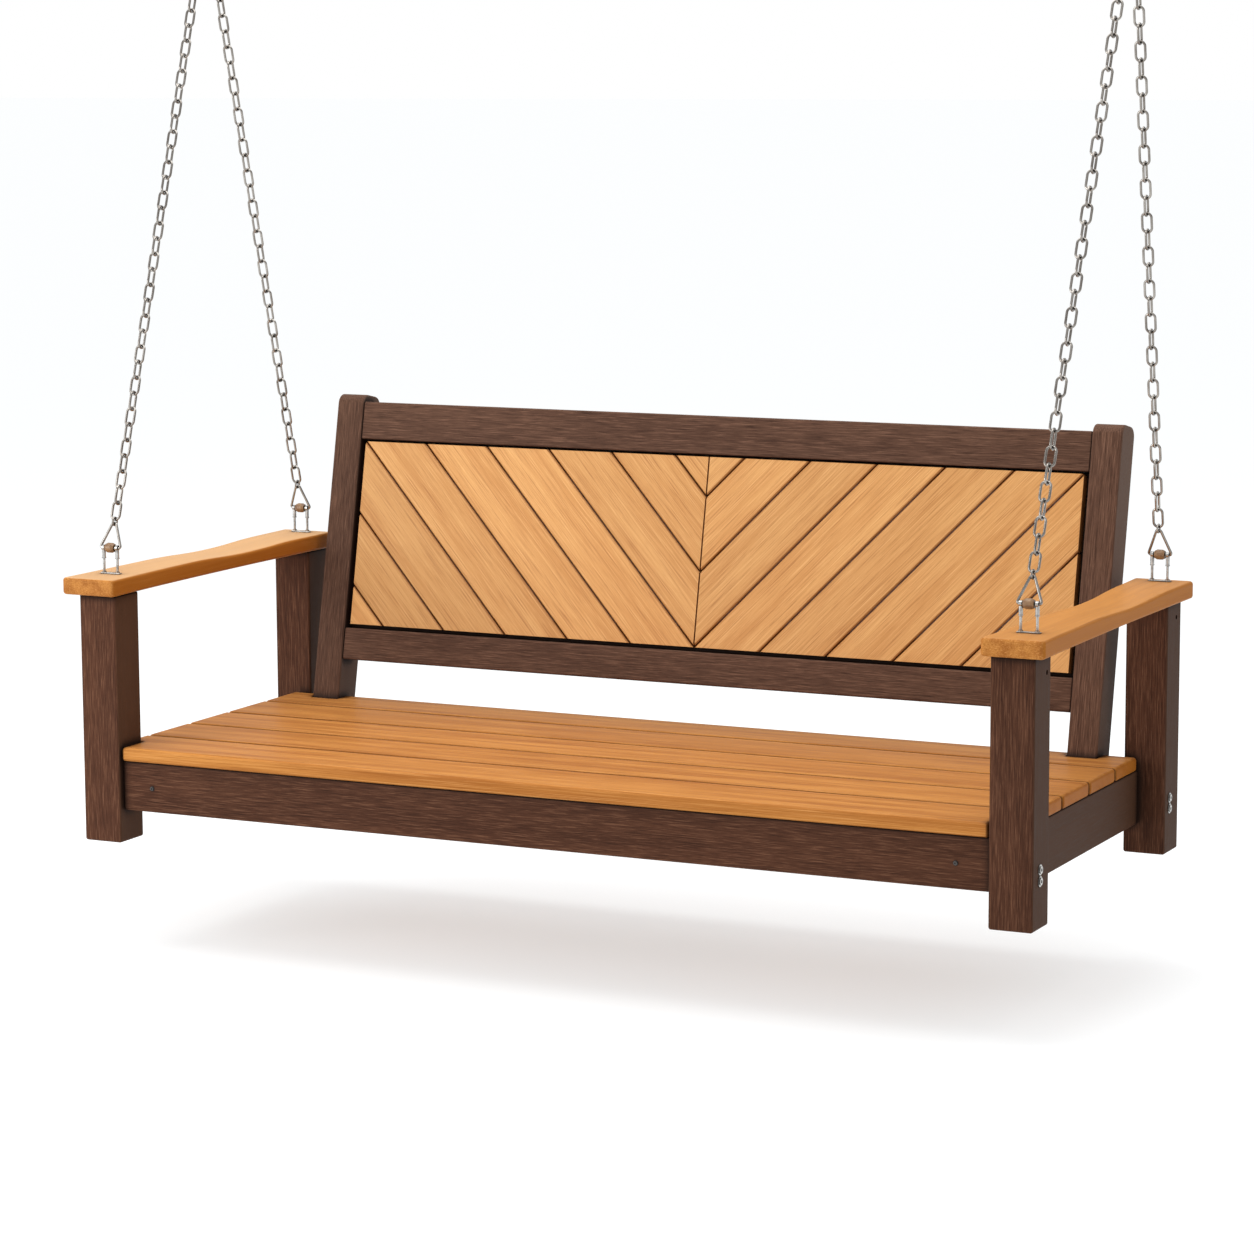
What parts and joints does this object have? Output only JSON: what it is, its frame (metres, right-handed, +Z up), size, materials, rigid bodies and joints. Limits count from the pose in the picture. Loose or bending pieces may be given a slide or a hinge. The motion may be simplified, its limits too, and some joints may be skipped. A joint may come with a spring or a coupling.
{
  "type": "porch swing",
  "caption": "Slatted porch swing bench with a chevron back, armrests and front and rear chains that gather at two ceiling brackets it swings from.",
  "frame": {"origin": "on the ceiling plane, at the centre of the four bolt holes of the two ceiling brackets, level with their pivots", "axes": "+Z up, +Y from the front of the seat to its back, +X along the bench to the right as seen from the front"},
  "size_m": [1.712, 0.7646, 1.624],
  "materials": {
    "dark_lumber": "satin",
    "amber_lumber": "satin",
    "panel_lumber": "satin",
    "chain_steel": "satin",
    "bolt_steel": "satin",
    "roller_plastic": "matte",
    "bracket_steel": "satin"
  },
  "bodies": {
    "ceiling": {"ceiling_brackets": "bracket_steel", "pivot_pins": "bracket_steel"},
    "bench": {"front_post_left": "dark_lumber", "rear_post_left": "dark_lumber", "side_apron_left": "dark_lumber", "back_stile_left": "dark_lumber", "arm_left": "amber_lumber", "chevron_left_1": "panel_lumber", "chevron_left_2": "panel_lumber", "chevron_left_3": "panel_lumber", "chevron_left_4": "panel_lumber", "chevron_left_5": "panel_lumber", "chevron_left_6": "panel_lumber", "chevron_left_7": "panel_lumber", "chevron_left_8": "panel_lumber", "chevron_left_9": "panel_lumber", "chain_front_left": "chain_steel", "chain_rear_left": "chain_steel", "front_post_right": "dark_lumber", "rear_post_right": "dark_lumber", "side_apron_right": "dark_lumber", "back_stile_right": "dark_lumber", "arm_right": "amber_lumber", "chevron_right_1": "panel_lumber", "chevron_right_2": "panel_lumber", "chevron_right_3": "panel_lumber", "chevron_right_4": "panel_lumber", "chevron_right_5": "panel_lumber", "chevron_right_6": "panel_lumber", "chevron_right_7": "panel_lumber", "chevron_right_8": "panel_lumber", "chevron_right_9": "panel_lumber", "chain_front_right": "chain_steel", "chain_rear_right": "chain_steel", "front_apron": "dark_lumber", "rear_apron": "dark_lumber", "centre_joist": "dark_lumber", "corner_blocks": "dark_lumber", "back_top_rail": "dark_lumber", "back_bottom_rail": "dark_lumber", "back_cleats": "dark_lumber", "seat_slat_1": "amber_lumber", "seat_slat_2": "amber_lumber", "seat_slat_3": "amber_lumber", "seat_slat_4": "amber_lumber", "seat_slat_5": "amber_lumber", "hanger_legs": "bolt_steel", "hanger_plates": "bolt_steel", "cross_dowels": "bolt_steel", "post_bolts": "bolt_steel", "barrel_nuts": "bolt_steel", "frame_screws": "bolt_steel", "delta_links": "chain_steel", "shackles": "chain_steel", "top_rings": "chain_steel", "pivot_eyes": "chain_steel"},
    "roller_front_left": {"roller_front_left": "roller_plastic"},
    "roller_rear_left": {"roller_rear_left": "roller_plastic"},
    "roller_front_right": {"roller_front_right": "roller_plastic"},
    "roller_rear_right": {"roller_rear_right": "roller_plastic"}
  },
  "joints": [
    {"name": "swing", "type": "hinge", "parent": "ceiling", "child": "bench", "pos_m": [0, 0, -0.04], "axis": [1, 0, 0], "range_deg": [-25, 25]},
    {"name": "roller_front_left_spin", "type": "hinge", "parent": "bench", "child": "roller_front_left", "pos_m": [-0.803, -0.3712, -1.1396], "axis": [1, 0, 0], "continuous": true},
    {"name": "roller_rear_left_spin", "type": "hinge", "parent": "bench", "child": "roller_rear_left", "pos_m": [-0.803, 0.2448, -1.1396], "axis": [1, 0, 0], "continuous": true},
    {"name": "roller_front_right_spin", "type": "hinge", "parent": "bench", "child": "roller_front_right", "pos_m": [0.803, -0.3712, -1.1396], "axis": [1, 0, 0], "continuous": true},
    {"name": "roller_rear_right_spin", "type": "hinge", "parent": "bench", "child": "roller_rear_right", "pos_m": [0.803, 0.2448, -1.1396], "axis": [1, 0, 0], "continuous": true}
  ]
}
